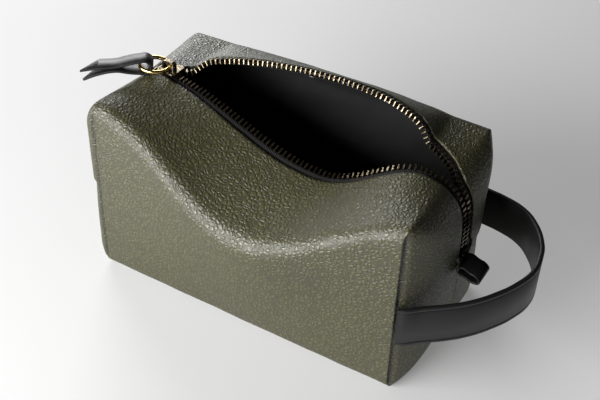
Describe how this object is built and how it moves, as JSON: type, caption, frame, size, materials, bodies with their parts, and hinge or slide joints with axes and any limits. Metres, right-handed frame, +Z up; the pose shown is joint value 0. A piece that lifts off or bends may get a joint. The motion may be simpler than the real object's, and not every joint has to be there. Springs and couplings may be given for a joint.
{
  "type": "cosmetic bag",
  "caption": "Boxed leather cosmetic bag, zip open along the top, with a slider and pull, a leather handle on one end and folded leather tabs.",
  "frame": {"origin": "middle of the flat bottom, where the bag rests", "axes": "+X along the bag towards the handle, +Y to the back, +Z up"},
  "size_m": [0.2484, 0.1128, 0.1215],
  "materials": {
    "olive_leather": "pebbled, soft sheen",
    "black_leather": "smooth, satin",
    "black_lining": "plain woven",
    "black_tape": "herringbone woven",
    "padding_foam": "matte felt",
    "antique_brass": "aged, satin",
    "gold_brass": "polished"
  },
  "bodies": {
    "bag": {"outer_front_panel": "olive_leather", "outer_back_panel": "olive_leather", "padding_front": "padding_foam", "padding_back": "padding_foam", "lining_front": "black_lining", "lining_back": "black_lining", "zip_tape_front": "black_tape", "zip_tape_back": "black_tape", "zip_teeth_front": "antique_brass", "zip_teeth_back": "antique_brass", "zip_top_stop_front": "antique_brass", "zip_top_stop_back": "antique_brass", "zip_bottom_stop": "antique_brass"},
    "slider": {"slider_body": "antique_brass", "slider_bridge": "antique_brass"},
    "ring": {"pull_ring": "gold_brass"},
    "strap": {"pull_strap": "black_leather"},
    "handle": {"handle_outer_layer": "black_leather", "handle_inner_layer": "black_leather"},
    "tab_right": {"end_tab_right": "black_leather"},
    "tab_left": {"end_tab_left": "black_leather"}
  },
  "joints": [
    {"name": "slider_slide", "type": "slide", "parent": "bag", "child": "slider", "axis": [1, 0, 0], "range_m": [0, 0.153], "deforming": ["zip_teeth_front", "zip_teeth_back", "zip_tape_front", "zip_tape_back"]},
    {"name": "ring_swing", "type": "hinge", "parent": "slider", "child": "ring", "pos_m": [-0.07565, 0, 0.1097], "axis": [-0.5878, 0.809, 0], "range_deg": [0, 120]},
    {"name": "strap_swing", "type": "hinge", "parent": "ring", "child": "strap", "pos_m": [-0.08856, -0.00938, 0.11082], "axis": [-0.5878, 0.809, 0], "range_deg": [-30, 0]},
    {"name": "handle_flex", "type": "hinge", "parent": "bag", "child": "handle", "pos_m": [0.09, 0, 0.05], "axis": [0, -1, 0], "range_deg": [-15, 15], "stiffness_Nm_per_rad": 0.12},
    {"name": "tab_right_flex", "type": "hinge", "parent": "bag", "child": "tab_right", "pos_m": [0.10387, 0, 0.05417], "axis": [0, -1, 0], "range_deg": [-30, 30], "stiffness_Nm_per_rad": 0.001},
    {"name": "tab_left_flex", "type": "hinge", "parent": "bag", "child": "tab_left", "pos_m": [-0.10187, 0, 0.05417], "axis": [0, 1, 0], "range_deg": [-30, 30], "stiffness_Nm_per_rad": 0.001}
  ]
}
